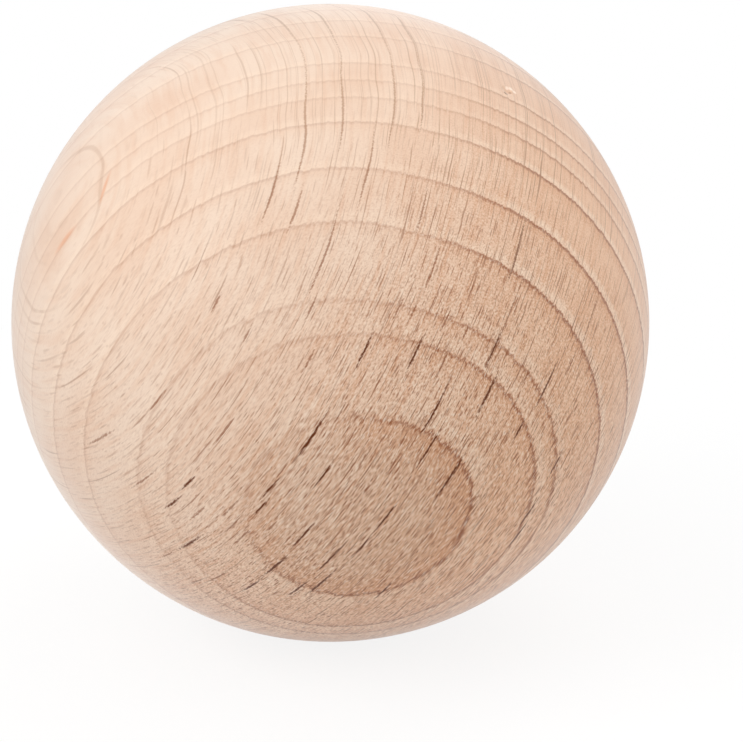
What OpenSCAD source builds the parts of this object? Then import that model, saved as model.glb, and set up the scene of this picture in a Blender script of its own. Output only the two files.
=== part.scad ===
/* [Ball] */
// Diameter of the ball, the same in every direction
ball_d = 75; // [25:0.5:120]

/* [Turning axis] */
// Lean of the turning axis away from straight up, in degrees
axis_tilt = 35; // [0:1:90]
// Compass turn of the leaning axis about straight up, in degrees
axis_turn = -22; // [-180:1:180]

/* [Lathe centre pits] */
// Width across the mouth of the small pit at each end of the turning axis
pit_w = 1.6; // [0.8:0.1:4]
// Depth of each pit below the ball's own round surface
pit_depth = 0.25; // [0.1:0.05:0.6]

/* [Hidden] */

// Fineness of the round surfaces
ball_fn = 180;
pit_fn = 48;

ball_r = ball_d / 2;

// Each pit is the hollow that a small sphere leaves. Its mouth is the circle of
// width pit_w on the ball, and its lowest point is pit_depth under the surface.
mouth_h = sqrt(ball_r * ball_r - pit_w * pit_w / 4);
floor_h = ball_r - pit_depth;
cutter_h = (ball_r * ball_r - floor_h * floor_h) / (2 * (mouth_h - floor_h));
cutter_r = cutter_h - floor_h;

// Turns what is drawn about Z onto the leaning axis that the ball was turned on
module on_turning_axis() {
    rotate([0, axis_tilt, axis_turn])
        children();
}

// The round hollow of one lathe centre, above the ball's middle
module centre_pit() {
    translate([0, 0, cutter_h])
        sphere(r = cutter_r, $fn = pit_fn);
}

// One solid turned ball with a pit at each end of its turning axis
module ball() {
    color([0.88, 0.77, 0.66])
        on_turning_axis()
            difference() {
                sphere(d = ball_d, $fn = ball_fn);
                for (end = [0, 180])
                    rotate([end, 0, 0])
                        centre_pit();
            }
}

ball();
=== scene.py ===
"""Looks of the turned beech ball: its finished surface, the wood, the floor, the light and the camera."""
import math

import bpy
import numpy as np
from mathutils import Matrix, Vector


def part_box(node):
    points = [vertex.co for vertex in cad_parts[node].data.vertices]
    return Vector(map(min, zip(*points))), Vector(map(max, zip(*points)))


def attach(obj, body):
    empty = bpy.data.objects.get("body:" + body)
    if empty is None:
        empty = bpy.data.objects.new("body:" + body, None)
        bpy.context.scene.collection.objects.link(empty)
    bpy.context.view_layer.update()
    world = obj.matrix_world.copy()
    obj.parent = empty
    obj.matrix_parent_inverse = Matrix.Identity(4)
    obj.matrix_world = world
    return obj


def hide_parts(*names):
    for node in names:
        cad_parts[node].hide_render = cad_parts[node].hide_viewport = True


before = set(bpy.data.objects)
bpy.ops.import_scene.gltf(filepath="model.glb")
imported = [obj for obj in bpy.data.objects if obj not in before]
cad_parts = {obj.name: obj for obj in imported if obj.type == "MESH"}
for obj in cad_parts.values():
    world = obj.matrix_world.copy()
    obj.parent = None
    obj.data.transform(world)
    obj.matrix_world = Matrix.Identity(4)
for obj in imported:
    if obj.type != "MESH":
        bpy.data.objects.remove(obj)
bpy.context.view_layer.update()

# Lengths here are metres, and lengths inside the wood are millimetres
MM = 0.001

# The solid ball and the small pit at each end of the axis that it was turned on
low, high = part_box("ball")
BALL_R = (high.z - low.z) / 2
AXIS_TILT = math.radians(35)
AXIS_TURN = math.radians(-22)
PIT_W = 1.6 * MM
PIT_DEPTH = 0.25 * MM

# Cells along one side of the square that is folded round the ball, and the ring of them at a pit's mouth
CELLS = 300
MOUTH_RING = 9
# Margin of the map round the folded square, as a share of its side
MAP_MARGIN = 0.003
# Keeps divisions and comparisons clear of exact zero
TINY = 1e-9

# Distance of every lamp from the ball's middle, and the side of its square
LAMP_AWAY = 0.9
LAMP_SIZE = 0.6

# Directions in the tree: towards its middle, along the trunk, and round the trunk
TO_PITH = Vector((0.0720, -0.9671, -0.2441)).normalized()
ROUND_TRUNK = Vector((0.8311, 0.1935, -0.5214)).normalized()
ALONG_TRUNK = TO_PITH.cross(ROUND_TRUNK)
ALONG_TRUNK *= math.copysign(1, ALONG_TRUNK.z)


def turning_frame():
    """The turn that lays the Z axis on the axis the ball was turned on."""
    return Matrix.Rotation(AXIS_TURN, 3, "Z") @ Matrix.Rotation(AXIS_TILT, 3, "Y")


def folded_square():
    """Grid points as diamond coordinates, how far each is on the way to the equator, and its half."""
    line = np.linspace(-1, 1, CELLS + 1)
    x, y = np.meshgrid(line, line, indexing="ij")
    outer = np.abs(x) + np.abs(y) > 1 + TINY
    fold_x = np.where(outer, np.copysign(1 - np.abs(y), x), x)
    fold_y = np.where(outer, np.copysign(1 - np.abs(x), y), y)
    return fold_x, fold_y, np.abs(fold_x) + np.abs(fold_y), outer


def mouth_angle():
    """Angle at the ball's middle between the turning axis and the rim of a pit."""
    return math.asin(PIT_W / 2 / BALL_R)


def crowding():
    """Power that draws the grid towards each pit, so that a ring of it lies on the rim."""
    rim = math.sqrt(1 - math.cos(mouth_angle()))
    return math.log(rim) / math.log(2 * MOUTH_RING / CELLS)


def surface_radius(angle):
    """Distance of the surface from the ball's middle, at each angle from the nearer end of the axis."""
    rim_h = BALL_R * math.cos(mouth_angle())
    floor_h = BALL_R - PIT_DEPTH
    middle = (BALL_R ** 2 - floor_h ** 2) / (2 * (rim_h - floor_h))
    hollow_r = middle - floor_h
    inside = np.clip(hollow_r ** 2 - (middle * np.sin(angle)) ** 2, 0, None)
    dish = middle * np.cos(angle) - np.sqrt(inside)
    return np.where(angle < mouth_angle(), dish, BALL_R)


def ball_points():
    """Every grid point on the ball, and its place on the flat map."""
    x, y, reach, outer = folded_square()
    pull = np.power(np.clip(reach, TINY, None), crowding() - 1)
    reach_pulled = reach * pull
    rise = 1 - reach_pulled ** 2
    angle = np.arccos(np.clip(rise, -1, 1))
    quarter = np.pi / 2 * np.abs(y) / np.clip(reach, TINY, None)
    radius = surface_radius(angle)
    side = radius * np.sin(angle)
    points = np.stack([
        np.copysign(side * np.cos(quarter), x),
        np.copysign(side * np.sin(quarter), y),
        np.where(outer, -1, 1) * radius * np.cos(angle),
    ], -1)
    turned = points @ np.array(turning_frame()).T
    flat_x, flat_y = x * pull, y * pull
    map_x = np.where(outer, np.copysign(1 - np.abs(flat_y), x), flat_x)
    map_y = np.where(outer, np.copysign(1 - np.abs(flat_x), y), flat_y)
    flat = MAP_MARGIN + (1 - 2 * MAP_MARGIN) * (np.stack([map_x, map_y], -1) + 1) / 2
    return turned, flat


def joined_index():
    """Index of each grid point, the same for the border points that the fold brings together."""
    i, j = np.meshgrid(np.arange(CELLS + 1), np.arange(CELLS + 1), indexing="ij")
    j = np.where((i == 0) | (i == CELLS), np.minimum(j, CELLS - j), j)
    i = np.where((j == 0) | (j == CELLS), np.minimum(i, CELLS - i), i)
    return i * (CELLS + 1) + j


def triangles():
    """Corners of each triangle as grid numbers, cut along the lines of equal distance from a pit."""
    i, j = np.meshgrid(np.arange(CELLS), np.arange(CELLS), indexing="ij")
    i, j = i.ravel(), j.ravel()
    row = CELLS + 1
    a, b, c, d = i * row + j, (i + 1) * row + j, (i + 1) * row + j + 1, i * row + j + 1
    half = CELLS / 2
    same_sign = (i < half) == (j < half)
    first = np.where(same_sign[:, None], np.stack([a, b, d], -1), np.stack([a, b, c], -1))
    second = np.where(same_sign[:, None], np.stack([b, c, d], -1), np.stack([a, c, d], -1))
    return np.concatenate([first, second])


def ball_mesh():
    """The turned ball as one closed fine mesh with its map."""
    points, flat = ball_points()
    index = joined_index().ravel()
    used, compact = np.unique(index, return_inverse=True)
    corners = triangles()
    faces = compact[corners]
    mesh = bpy.data.meshes.new("ball_turned")
    mesh.from_pydata(points.reshape(-1, 3)[used].tolist(), [], faces.tolist())
    layer = mesh.uv_layers.new(name="OFBake")
    layer.data.foreach_set("uv", flat.reshape(-1, 2)[corners].astype(np.float32).ravel())
    mesh.polygons.foreach_set("use_smooth", np.ones(len(faces), bool))
    mesh.update()
    return mesh


class Graph:
    """Short calls that each add one shader node and give back its output."""

    def __init__(self, tree):
        self.tree = tree

    def put(self, socket, value):
        if isinstance(value, bpy.types.NodeSocket):
            self.tree.links.new(value, socket)
        else:
            socket.default_value = value

    def node(self, kind, values=(), **settings):
        made = self.tree.nodes.new("ShaderNode" + kind)
        for name, setting in settings.items():
            setattr(made, name, setting)
        for name, value in dict(values).items():
            self.put(made.inputs[name], value)
        return made

    def calc(self, operation, *values):
        made = self.node("Math", operation=operation)
        for socket, value in zip(made.inputs, values):
            self.put(socket, value)
        return made.outputs[0]

    def vector(self, operation, *values):
        made = self.node("VectorMath", operation=operation)
        for socket, value in zip(made.inputs, values):
            self.put(socket, value)
        return made.outputs["Value" if operation in ("DOT_PRODUCT", "LENGTH", "DISTANCE") else "Vector"]

    def combine(self, x, y, z=0.0):
        return self.node("CombineXYZ", {"X": x, "Y": y, "Z": z}).outputs[0]

    def ramp(self, value, start, end, low=0.0, high=1.0, smooth=True):
        kind = "SMOOTHSTEP" if smooth else "LINEAR"
        made = self.node("MapRange", {
            "Value": value, "From Min": start, "From Max": end, "To Min": low, "To Max": high,
        }, interpolation_type=kind)
        return made.outputs["Result"]

    def noise(self, place, detail, roughness):
        made = self.node("TexNoise", {
            "Vector": place, "Scale": 1.0, "Detail": detail, "Roughness": roughness,
        })
        return made.outputs["Fac"]

    def tint(self, share, colour, other):
        made = self.node("Mix", data_type="RGBA")
        self.put(made.inputs[0], share)
        self.put(made.inputs[6], colour)
        self.put(made.inputs[7], other)
        return made.outputs[2]


def srgb(red, green, blue):
    """A colour written as it shows on a screen, 0 to 255, for a shader socket."""
    def linear(c):
        c /= 255
        return c / 12.92 if c <= 0.04045 else ((c + 0.055) / 1.055) ** 2.4
    return (linear(red), linear(green), linear(blue), 1.0)


# Growth rings from the pith's side outwards: depth in mm, strength of the line, width of the late wood
RINGS = [
    (35.4, 1.1, 1.7), (31.65, 0.9, 1.2), (29.7, 0.8, 0.7), (24.2, 1.0, 1.6), (18.85, 1.0, 1.5),
    (13.0, 0.9, 2.0), (9.3, 0.6, 1.4), (6.5, 0.6, 1.2), (3.3, 0.6, 1.2), (-2.8, 0.6, 1.5),
    (-7.6, 0.7, 1.3), (-12.4, 0.9, 1.6), (-18.1, 0.8, 1.6), (-22.9, 0.9, 1.2), (-27.6, 0.8, 1.4),
    (-31.2, 0.9, 1.2), (-35.1, 0.9, 1.2),
]
# How far below its line a ring's pale early wood reaches, in mm
EARLY_REACH = 1.2
# The ring facts ride in one colour ramp over this depth either side of the middle, scaled to stay under 1
DEPTH_SPAN = 40.0
WIDTH_SPAN = 4.0
# Bend of the rings, in mm: their tilt round the trunk and its growth with depth, their slow wave, and a dip
RING_TILT = -0.044
TILT_GROWTH = 0.0022
WAVE_LENGTH = 32.0
WAVE_START = 5.0
WAVE_HEIGHT = 0.12
DIP = -0.35
# Distance from the ball's middle to the tree's middle, where the rays meet, in mm
PITH_AT = 260.0
# Half widths of the rays in the three lists below, in mm, and the share at which the medium ones are laid
BROAD_HALF_W = 0.28
BOLD_HALF_W = 0.22
MEDIUM_HALF_W = 0.17
MEDIUM_SHARE = 0.68
# Farther than any mark reaches, to start a search for the nearest
FAR = 9.0

# Rays as they show on the face towards the pith: place round the trunk, then from and to along it, in mm
BROAD_RAYS = [
    (-9.4, 2.6, 8.3), (5.6, 15.9, 19.9), (6.75, 5.8, 11.4), (-2.95, -13.6, -8.8), (2.6, -13.1, -8.1),
    (-11.2, -17.2, -13.8),
]
BOLD_RAYS = [
    (-9.1, 14.5, 17.6), (-4.05, 16.7, 19.9), (0.75, 11.7, 17.2), (2.5, 8.2, 12.9), (4.0, 20.5, 23.4),
    (2.95, -0.6, 3.7), (3.05, -4.4, -1.8), (-5.95, 1.1, 4.2), (-9.5, -3.7, -0.8), (-8.85, -6.1, -3.8),
    (-3.2, -7.3, -3.0), (1.1, -9.2, -3.6), (-2.8, -18.0, -14.6), (9.65, -9.8, -6.8), (-16.1, -9.2, -7.0),
    (1.25, -14.8, -11.4), (-15.7, -13.0, -10.8), (11.7, 14.9, 16.5), (12.4, 18.2, 22.7),
    (19.1, 11.4, 13.8), (19.4, 5.0, 8.0), (20.1, 1.6, 5.0), (2.6, 27.8, 32.2),
]
MEDIUM_RAYS = [
    (-15.9, 15.4, 17.1), (-13.5, 11.0, 13.0), (-8.2, 8.8, 10.3), (-7.8, 20.4, 21.6),
    (-6.2, 21.3, 22.1), (-2.5, 21.7, 23.0), (-0.7, 18.2, 19.6), (0.2, 21.9, 22.9),
    (4.1, 22.8, 28.0), (6.15, 10.8, 13.8), (9.3, 20.2, 21.4), (9.45, 17.3, 18.3), (-5.75, 6.6, 8.8),
    (-3.25, 5.7, 7.0), (-0.05, 6.0, 8.4), (-0.9, 3.1, 4.0), (-16.7, -1.9, 2.6), (-20.0, 9.2, 10.6),
    (-23.8, 9.6, 11.0), (-23.5, 19.4, 23.4), (-20.9, 20.4, 23.2), (-15.7, 26.0, 31.0),
    (-9.2, 27.5, 30.3), (-9.75, -0.4, 1.4), (-6.55, -7.0, -5.7), (-11.2, -8.4, -6.2),
    (-11.35, -20.4, -19.0), (-8.0, -11.4, -8.8), (-9.7, -10.0, -8.4), (-19.2, -13.8, -10.6),
    (-13.25, -12.2, -9.6), (-23.4, -4.6, -1.0), (-24.5, -14.6, -10.6), (-5.9, -19.2, -16.0),
    (-6.6, -22.2, -19.4), (6.15, -16.4, -14.0), (8.95, 0.2, 2.1), (11.7, 5.0, 7.2), (14.5, 21.9, 23.7),
    (18.7, 20.9, 22.5), (16.6, 10.4, 12.0), (21.0, 8.6, 10.6), (17.2, 14.6, 15.4), (9.1, 12.2, 15.2),
    (-22.3, 23.4, 29.8), (-19.3, 28.4, 31.8), (-14.5, 31.2, 34.6), (15.2, 24.2, 28.4), (-11.6, 33.6, 35.4),
    (-16.9, 17.0, 24.8), (-6.1, 23.6, 27.6),
]

# Rays cut flat near the left end: from and to along the trunk and in towards the pith, and half width, in mm
FLAT_FLECKS = [((8.7, 7.6), (5.6, 11.0), 0.34), ((2.0, 10.2), (-3.0, 10.0), 0.5)]

# Tones of the wood, paler towards the ball's left and top and warmer towards its right and bottom, and of
# what the cut lays open
PALE_SIDE = srgb(230, 206, 186)
WARM_SIDE = srgb(231, 188, 155)
EARLY_WOOD = srgb(248, 224, 200)
LATE_WOOD = srgb(204, 144, 102)
RING_LINE = srgb(124, 58, 26)
OPEN_PORE = srgb(140, 80, 44)
BRIGHT_FIBRE = srgb(252, 238, 220)
INNER_RING_TONE = srgb(170, 138, 114)
PALE_RAY = srgb(176, 138, 110)
THIN_RAY = srgb(130, 70, 32)
DARK_RAY = srgb(98, 44, 6)
FLECK = srgb(220, 154, 114)
# Painted highlight and painted shade for the walls of the pits
PIT_HIGHLIGHT = srgb(255, 232, 214)
PIT_SHADE = srgb(150, 108, 80)

# Full white, for the floor and the surroundings
WHITE = (1.0, 1.0, 1.0, 1.0)

# Painted highlight and painted shade at the near pit, seen from outside: mm to the right of its middle and
# up, reach, share and tone
PIT_LIGHT_SPOTS = [
    (0.55, 0.3, 0.4, 0.8, PIT_HIGHLIGHT), (0.95, -0.05, 0.4, 0.9, PIT_HIGHLIGHT), (0.9, -0.6, 0.4, 0.8, PIT_HIGHLIGHT),
    (0.25, -0.3, 0.35, 0.8, PIT_SHADE), (-0.35, 0.2, 0.3, 0.5, PIT_SHADE),
    (-0.85, -0.1, 0.35, 0.9, PIT_SHADE),
]


def fan_place(around, along):
    """Place of a ray round the trunk at the depth of the ball's middle, from where it shows on the face."""
    ball_mm = BALL_R / MM
    depth = math.sqrt(max(ball_mm ** 2 - around ** 2 - along ** 2, 0))
    return around * PITH_AT / (PITH_AT - depth)


def wood_places(g):
    """Places in the tree in mm: round the trunk, along it, and in towards the pith."""
    place = g.node("TexCoord").outputs["Object"]
    ways = []
    for way in (ROUND_TRUNK, ALONG_TRUNK, TO_PITH):
        ways.append(g.vector("DOT_PRODUCT", place, way / MM))
    return ways


def ring_field(g, around, inward, wobble):
    """Depth towards the pith with the slow bends of the rings taken out."""
    tilt_by = g.calc("MINIMUM", inward, g.calc("MULTIPLY_ADD", inward, -0.8, 45.0))
    tilt = g.calc("MULTIPLY", g.calc("MULTIPLY_ADD", tilt_by, TILT_GROWTH, RING_TILT), around)
    per_mm = 2 * math.pi / WAVE_LENGTH
    turn = g.calc("MULTIPLY_ADD", g.calc("MINIMUM", around, 11.0), per_mm, per_mm * WAVE_START)
    wave = g.calc("MULTIPLY", g.calc("COSINE", turn), WAVE_HEIGHT)
    reach = g.calc("MULTIPLY", g.ramp(inward, 8.0, 20.0), g.ramp(inward, 26.0, 33.0, 1.0, 0.0))
    drop = g.calc("MULTIPLY", g.ramp(around, -8.0, -18.0, 0.0, DIP), reach)
    bend = g.calc("ADD", g.calc("ADD", tilt, wave), drop)
    return g.calc("ADD", g.calc("SUBTRACT", inward, bend), wobble)


def ring_facts(g, depth):
    """The ring that each depth belongs to: how far off its line the place is, its strength and its width."""
    made = g.node("ValToRGB", {"Fac": g.calc("MULTIPLY_ADD", depth, 0.5 / DEPTH_SPAN, 0.5)})
    stops = made.color_ramp
    stops.interpolation = "CONSTANT"
    rings = sorted(RINGS)
    for number, (ring, strength, width) in enumerate(rings):
        at = (ring - EARLY_REACH) / (2 * DEPTH_SPAN) + 0.5
        stop = stops.elements[0] if number == 0 else stops.elements.new(at)
        stop.position = at
        stop.color = (ring / (2 * DEPTH_SPAN) + 0.5, strength, width / WIDTH_SPAN, 1.0)
    stops.elements.remove(stops.elements[len(stops.elements) - 1])
    parts = g.node("SeparateColor", {"Color": made.outputs["Color"]})
    ring = g.calc("MULTIPLY_ADD", parts.outputs[0], 2 * DEPTH_SPAN, -DEPTH_SPAN)
    off = g.calc("SUBTRACT", depth, ring)
    return off, parts.outputs[1], g.calc("MULTIPLY", parts.outputs[2], WIDTH_SPAN)


def ring_marks(g, depth, slant):
    """How far each place is in a ring's dark line, in its late wood, and in the pale early wood after it."""
    off, strength, width = ring_facts(g, depth)
    near = g.calc("DIVIDE", off, slant)
    line = g.calc("MULTIPLY", g.ramp(near, -0.2, -0.05), g.ramp(near, 0.02, 0.42, 1.0, 0.0))
    late = g.calc("MULTIPLY", g.ramp(off, -0.1, width, 1.0, 0.0), g.ramp(off, -0.14, -0.02))
    early = g.calc("MULTIPLY", g.ramp(off, -EARLY_REACH, -0.5), g.ramp(off, -0.04, -0.26))
    early = g.calc("MULTIPLY", early, slant)
    return [g.calc("MULTIPLY", mark, strength) for mark in (line, late, early)]


def ray_dashes(g, place, rays, half_w, torn):
    """Marks of these rays, full in the middle of each and tapering to a torn edge."""
    nearest = FAR
    for around, start, end in rays:
        middle, half_l = (start + end) / 2, (end - start) * 0.6 + 0.7
        scale = (1 / half_w, 1 / half_l, 0.0)
        shift = (-fan_place(around, middle) * scale[0], -middle * scale[1], 0.0)
        reach = g.vector("LENGTH", g.vector("MULTIPLY_ADD", place, scale, shift))
        nearest = g.calc("MINIMUM", nearest, reach)
    return g.ramp(g.calc("ADD", nearest, torn), 1.0, 0.35)


def scattered_rays(g, around, along, gap, pitch, half_w, half_l, seed):
    """Rays strewn at random, one to a cell of a loose grid, each with its own length and strength."""
    cell = g.combine(g.calc("MULTIPLY_ADD", around, 1 / gap, seed), g.calc("MULTIPLY", along, 1 / pitch))
    found = g.node("TexVoronoi", {"Vector": cell, "Scale": 1.0, "Randomness": 0.9}, voronoi_dimensions="2D")
    away = g.vector("MULTIPLY", g.vector("SUBTRACT", cell, found.outputs["Position"]), (gap, pitch, 0.0))
    parts = g.node("SeparateXYZ", {"Vector": away})
    chance = g.node("SeparateColor", {"Color": found.outputs["Color"]})
    width = g.ramp(chance.outputs[0], 0.0, 1.0, half_w * 0.6, half_w * 1.3, smooth=False)
    length = g.ramp(chance.outputs[1], 0.0, 1.0, half_l * 0.4, half_l * 1.5, smooth=False)
    strength = g.ramp(chance.outputs[2], 0.0, 1.0, 0.15, 1.0, smooth=False)
    across = g.calc("DIVIDE", parts.outputs["X"], width)
    down = g.calc("DIVIDE", parts.outputs["Y"], length)
    reach = g.vector("LENGTH", g.combine(across, down))
    return g.calc("MULTIPLY", g.ramp(reach, 1.0, 0.3), strength)


def paint_rings(g, colour, side, marks, sheets):
    """Lays the early wood, the late wood and the ring lines over a colour, boldest on the warm side."""
    line, late, early = marks
    warm = g.ramp(side, 0.12, 1.0)
    colour = g.tint(g.calc("MULTIPLY", early, g.ramp(warm, 0.0, 1.0, 0.2, 0.6)), colour, EARLY_WOOD)
    colour = g.tint(g.calc("MULTIPLY", late, g.ramp(warm, 0.0, 1.0, 0.1, 0.52)), colour, LATE_WOOD)
    line = g.calc("MULTIPLY", line, g.ramp(sheets, 0.3, 0.6, 1.0, 0.65))
    return g.tint(g.calc("MULTIPLY", line, g.ramp(warm, 0.0, 1.0, 0.22, 0.95)), colour, RING_LINE)


def paint_pores(g, colour, pores, vessels, sheets, openness_and_relief_shade):
    """Lays the streaks, the bright fibres and the open pores over a colour, as strong as the given share,
    which is partly painted relief shade.
    """
    streak = g.calc("MULTIPLY", g.ramp(sheets, 0.56, 0.3, 0.0, 0.4), g.ramp(openness_and_relief_shade, 0.1, 0.8, 0.35, 1.0))
    colour = g.tint(streak, colour, LATE_WOOD)
    fibre = g.calc("MULTIPLY", g.ramp(pores, 0.48, 0.76, 0.0, 0.5), openness_and_relief_shade)
    colour = g.tint(fibre, colour, BRIGHT_FIBRE)
    gap = g.calc("MULTIPLY", g.ramp(pores, 0.5, 0.26, 0.0, 0.5), openness_and_relief_shade)
    colour = g.tint(gap, colour, OPEN_PORE)
    return g.tint(g.calc("MULTIPLY", g.calc("MULTIPLY", vessels, 0.88), openness_and_relief_shade), colour, OPEN_PORE)


def flat_flecks(g, along, inward):
    """Marks of the rays that the left end of the ball cuts nearly flat."""
    place = g.combine(along, inward)
    nearest = FAR
    for start, end, half_w in FLAT_FLECKS:
        way = Vector((end[0] - start[0], end[1] - start[1], 0.0))
        half_l = way.length / 2
        way.normalize()
        middle = Vector((start[0] + end[0], start[1] + end[1], 0.0)) / 2
        from_middle = g.vector("SUBTRACT", place, middle)
        down = g.calc("DIVIDE", g.vector("DOT_PRODUCT", from_middle, way), half_l)
        square = Vector((-way.y, way.x, 0.0))
        across = g.calc("DIVIDE", g.vector("DOT_PRODUCT", from_middle, square), half_w)
        nearest = g.calc("MINIMUM", nearest, g.vector("LENGTH", g.combine(down, across)))
    return g.ramp(nearest, 1.2, 0.2)


def paint_rays(g, colour, around, along, inward, fan, pores):
    """Lays the strewn rays and then the ones that stand out over a colour, darkest on the rings' face."""
    depth = g.calc("ABSOLUTE", inward)
    facing = g.ramp(depth, 4.0, 30.0)
    thin_ray = g.tint(facing, PALE_RAY, THIN_RAY)
    dark_ray = g.tint(g.ramp(depth, 10.0, 35.0), PALE_RAY, DARK_RAY)
    flat = g.ramp(g.calc("ABSOLUTE", around), 32.0, 36.5, 1.0, 0.2)
    sheet = scattered_rays(g, fan, along, 1.0, 16.0, 0.08, 9.0, 1.7)
    cut_back = g.calc("MULTIPLY", g.ramp(depth, 20.0, 9.0, 0.0, 0.42), g.ramp(flat, 0.2, 1.0, 0.75, 1.0))
    cut_back = g.calc("MULTIPLY", cut_back, g.ramp(around, 5.0, 25.0, 1.0, 0.5))
    colour = g.tint(g.calc("MULTIPLY", sheet, cut_back), colour, PALE_RAY)
    fine = scattered_rays(g, fan, along, 0.55, 3.0, 0.09, 1.3, 8.2)
    share = g.calc("MULTIPLY", g.ramp(around, -28.0, 0.0, 0.3, 0.8), flat)
    share = g.calc("MULTIPLY", share, g.ramp(along, -24.0, -10.0, 0.5, 1.0))
    colour = g.tint(g.calc("MULTIPLY", fine, share), colour, thin_ray)
    strewn = scattered_rays(g, fan, along, 1.7, 8.0, 0.1, 3.2, 3.4)
    share = g.calc("MULTIPLY", g.ramp(around, -28.0, 0.0, 0.5, 0.7), flat)
    colour = g.tint(g.calc("MULTIPLY", strewn, share), colour, thin_ray)
    place = g.combine(fan, along)
    torn = g.ramp(pores, 0.3, 0.7, -0.12, 0.25)
    medium = ray_dashes(g, place, MEDIUM_RAYS, MEDIUM_HALF_W, torn)
    colour = g.tint(g.calc("MULTIPLY", medium, MEDIUM_SHARE), colour, thin_ray)
    colour = g.tint(ray_dashes(g, place, BOLD_RAYS, BOLD_HALF_W, torn), colour, dark_ray)
    colour = g.tint(ray_dashes(g, place, BROAD_RAYS, BROAD_HALF_W, torn), colour, dark_ray)
    left_end = g.ramp(around, -30.0, -33.0, 0.0, 0.6)
    return g.tint(g.calc("MULTIPLY", flat_flecks(g, along, inward), left_end), colour, FLECK)


def paint_pit_light(g, colour):
    """Paints light and shade into the pits over a colour: a painted highlight at one rim, painted shade
    opposite.
    """
    place = g.vector("DIVIDE", g.node("TexCoord").outputs["Object"], (MM, MM, MM))
    turn = turning_frame()
    pit = turn @ Vector((0, 0, BALL_R / MM))
    for across, up, reach, share, tone in PIT_LIGHT_SPOTS:
        spot = pit + turn @ Vector((-up, across, 0))
        for end in (spot, -spot):
            mark = g.ramp(g.vector("DISTANCE", place, end), reach, reach * 0.3, 0.0, share)
            colour = g.tint(mark, colour, tone)
    return colour


def beech():
    """Bare sanded beech, cut through its rings, rays and pores wherever the surface meets them."""
    material = bpy.data.materials.new("beech")
    material.use_nodes = True
    g = Graph(material.node_tree)
    shader = g.tree.nodes["Principled BSDF"]
    around, along, inward = wood_places(g)

    # Rays fan out from the pith, a little crooked
    place = g.combine(around, inward, along)
    slow = g.noise(g.vector("MULTIPLY", place, (0.12, 0.12, 0.06)), 1.0, 0.5)
    fan = g.calc("DIVIDE", g.calc("MULTIPLY", around, PITH_AT), g.calc("SUBTRACT", PITH_AT, inward))
    fan = g.calc("ADD", fan, g.ramp(slow, 0.2, 0.8, -0.2, 0.2))

    # Pores drawn out along the trunk, and streaks that run with the rays
    pores = g.noise(g.vector("MULTIPLY", place, (6.0, 6.0, 1.1)), 1.0, 0.5)
    vessels = scattered_rays(g, around, along, 0.45, 1.5, 0.1, 0.6, 5.1)
    sheets = g.noise(g.vector("MULTIPLY", g.combine(fan, inward, along), (2.2, 0.16, 0.14)), 2.0, 0.6)

    # Growth rings, toothed by the streaks; their lines look no broader where the cut meets them flat
    lift = g.calc("MULTIPLY", inward, MM / BALL_R)
    level = g.calc("MULTIPLY_ADD", g.calc("MULTIPLY", lift, lift), -1.0, 1.0)
    slant = g.calc("SQRT", g.calc("MAXIMUM", level, 0.04))
    marks = ring_marks(g, ring_field(g, around, inward, g.ramp(sheets, 0.25, 0.75, -0.14, 0.14)), slant)

    side = g.ramp(around, -30.0, 20.0)
    colour = g.tint(side, PALE_SIDE, WARM_SIDE)
    colour = g.tint(g.ramp(slow, 0.3, 0.7, 0.0, 0.18), colour, LATE_WOOD)
    # A darker, greyer tone inside the innermost ring, round the point nearest the pith
    colour = g.tint(g.ramp(inward, 34.0, 36.5, 0.0, 0.2), colour, INNER_RING_TONE)
    colour = paint_rings(g, colour, side, marks, sheets)
    openness_and_relief_shade = g.ramp(g.calc("ABSOLUTE", inward), 6.0, 34.0, 0.25, 1.0)
    # The pores show weaker on the left and full from the middle rightwards: painted shade of their relief
    # under the light from the left
    openness_and_relief_shade = g.calc("MULTIPLY", openness_and_relief_shade, g.ramp(side, 0.0, 0.65, 0.28, 1.0))
    colour = paint_pores(g, colour, pores, vessels, sheets, openness_and_relief_shade)
    colour = paint_rays(g, colour, around, along, inward, fan, pores)
    g.put(shader.inputs["Base Color"], paint_pit_light(g, colour))

    g.put(shader.inputs["Roughness"], g.calc("MULTIPLY_ADD", pores, 0.16, 0.47))
    shader.inputs["Specular IOR Level"].default_value = 0.15
    shader.inputs["Sheen Weight"].default_value = 0.64
    shader.inputs["Sheen Roughness"].default_value = 0.4
    bump = g.node("Bump", {"Height": pores, "Strength": 0.6, "Distance": 0.05 * MM})
    g.put(shader.inputs["Normal"], bump.outputs["Normal"])
    return material


def white_rays(g):
    """1 for the rays that see the white surroundings, 0 for those that carry light to the ball."""
    rays = g.node("LightPath").outputs
    mirrored = g.calc("MAXIMUM", rays["Is Glossy Ray"], rays["Is Transmission Ray"])
    return g.calc("MAXIMUM", rays["Is Camera Ray"], mirrored)


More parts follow.
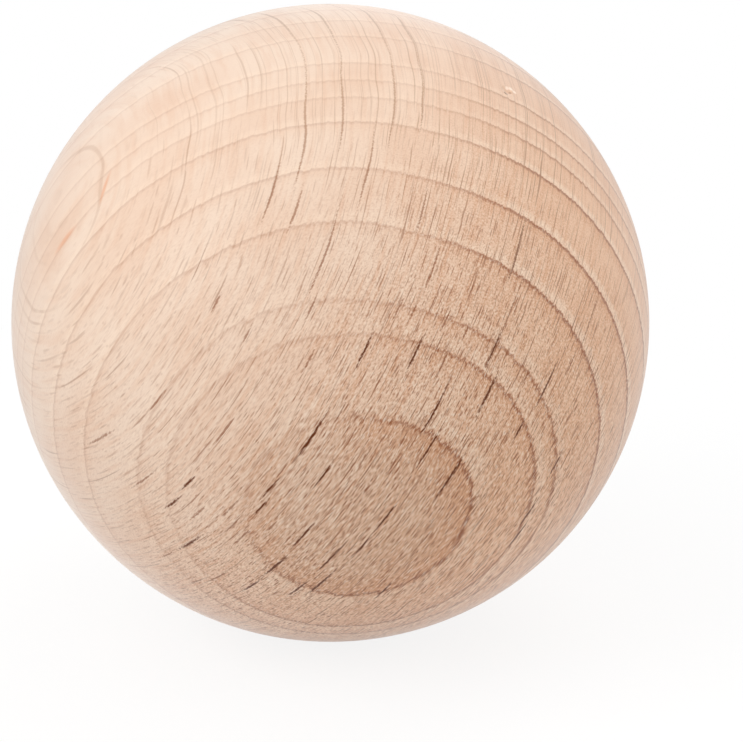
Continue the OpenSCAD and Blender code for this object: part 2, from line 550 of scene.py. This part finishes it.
def floor_material():
    """White floor that keeps the ball's soft shadow and fades to a pure white ground in view."""
    material = bpy.data.materials.new("white_floor")
    material.use_nodes = True
    g = Graph(material.node_tree)
    g.tree.nodes.clear()
    away = g.vector("LENGTH", g.node("TexCoord").outputs["Object"])
    tone = g.ramp(away, 1.2 * BALL_R, 2.2 * BALL_R, 0.72, 0.42)
    paint = g.node("BsdfDiffuse", {"Color": tone})
    bright = g.node("BsdfDiffuse", {"Color": WHITE})
    glow = g.node("Emission", {"Color": WHITE, "Strength": 1.0})
    ground = g.node("MixShader", {"Fac": g.ramp(away, 1.2 * BALL_R, 3.0 * BALL_R, 0.85, 1.0)})
    g.put(ground.inputs[1], bright.outputs[0])
    g.put(ground.inputs[2], glow.outputs[0])
    mixed = g.node("MixShader", {"Fac": white_rays(g)})
    g.put(mixed.inputs[1], paint.outputs[0])
    g.put(mixed.inputs[2], ground.outputs[0])
    out = g.node("OutputMaterial")
    g.put(out.inputs["Surface"], mixed.outputs[0])
    return material


def make_floor():
    """A round pale floor that the ball touches at its lowest point."""
    radius = 1.6
    sides = 96
    angles = [2 * math.pi * k / sides for k in range(sides)]
    mesh = bpy.data.meshes.new("floor")
    corners = [(radius * math.cos(a), radius * math.sin(a), 0.0) for a in angles]
    mesh.from_pydata(corners, [], [list(range(sides))])
    floor = bpy.data.objects.new("floor", mesh)
    floor.location = (0, 0, low.z)
    mesh.materials.append(floor_material())
    bpy.context.scene.collection.objects.link(floor)


def make_world(strength):
    """Even white surroundings, pure white in view."""
    world = bpy.data.worlds.new("white_room")
    bpy.context.scene.world = world
    world.use_nodes = True
    g = Graph(world.node_tree)
    g.tree.nodes.clear()
    level = g.ramp(white_rays(g), 0.0, 1.0, strength, 1.0, smooth=False)
    glow = g.node("Background", {"Color": WHITE, "Strength": level})
    out = g.node("OutputWorld")
    g.put(out.inputs["Surface"], glow.outputs[0])


def make_lamp(name, azimuth, elevation, power):
    """A square soft lamp that looks at the ball, azimuth 0 being the camera's side and 90 the right."""
    a, e = math.radians(azimuth), math.radians(elevation)
    away = Vector((math.sin(a) * math.cos(e), -math.cos(a) * math.cos(e), math.sin(e)))
    lamp = bpy.data.lights.new(name, "AREA")
    lamp.size = LAMP_SIZE
    lamp.energy = power
    holder = bpy.data.objects.new(name, lamp)
    holder.location = away * LAMP_AWAY
    holder.rotation_mode = "QUATERNION"
    holder.rotation_quaternion = (-away).to_track_quat("-Z", "Y")
    holder.visible_camera = False
    bpy.context.scene.collection.objects.link(holder)


def make_camera():
    """The photograph's view: ten ball radii from the ball's middle, 20 degrees above it."""
    photo_w, photo_h = 743, 742
    ball_x, ball_y = 330.3, 322.8
    ball_px = 319.0
    away = 10.0
    lift = math.radians(20)
    camera = bpy.data.cameras.new("camera")
    camera.sensor_width = 36.0
    camera.lens = camera.sensor_width * ball_px * math.sqrt(away ** 2 - 1) / photo_w
    camera.shift_x = (photo_w / 2 - ball_x) / photo_w
    camera.shift_y = (ball_y - photo_h / 2) / photo_w
    camera.clip_start = 0.01
    camera.clip_end = 20.0
    holder = bpy.data.objects.new("camera", camera)
    holder.location = Vector((0, -math.cos(lift), math.sin(lift))) * away * BALL_R
    holder.rotation_mode = "QUATERNION"
    holder.rotation_quaternion = (-holder.location).to_track_quat("-Z", "Y")
    bpy.context.scene.collection.objects.link(holder)
    bpy.context.scene.camera = holder


def make_ball():
    """The finished ball, which stands for the plain solid."""
    mesh = ball_mesh()
    mesh.materials.append(beech())
    ball = bpy.data.objects.new("ball_turned", mesh)
    bpy.context.scene.collection.objects.link(ball)
    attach(ball, "root")
    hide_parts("ball")


make_camera()
make_floor()
make_world(0.67)
make_lamp("key", -60, 32, 3.9)
make_lamp("front", 0, 10, 1.2)
make_lamp("left_top", -90, 58, 0.5)
make_lamp("right_low", 90, 8, 2.3)
make_lamp("right_back", 135, 58, 1.6)
make_ball()
bpy.context.scene.view_settings.view_transform = "Standard"
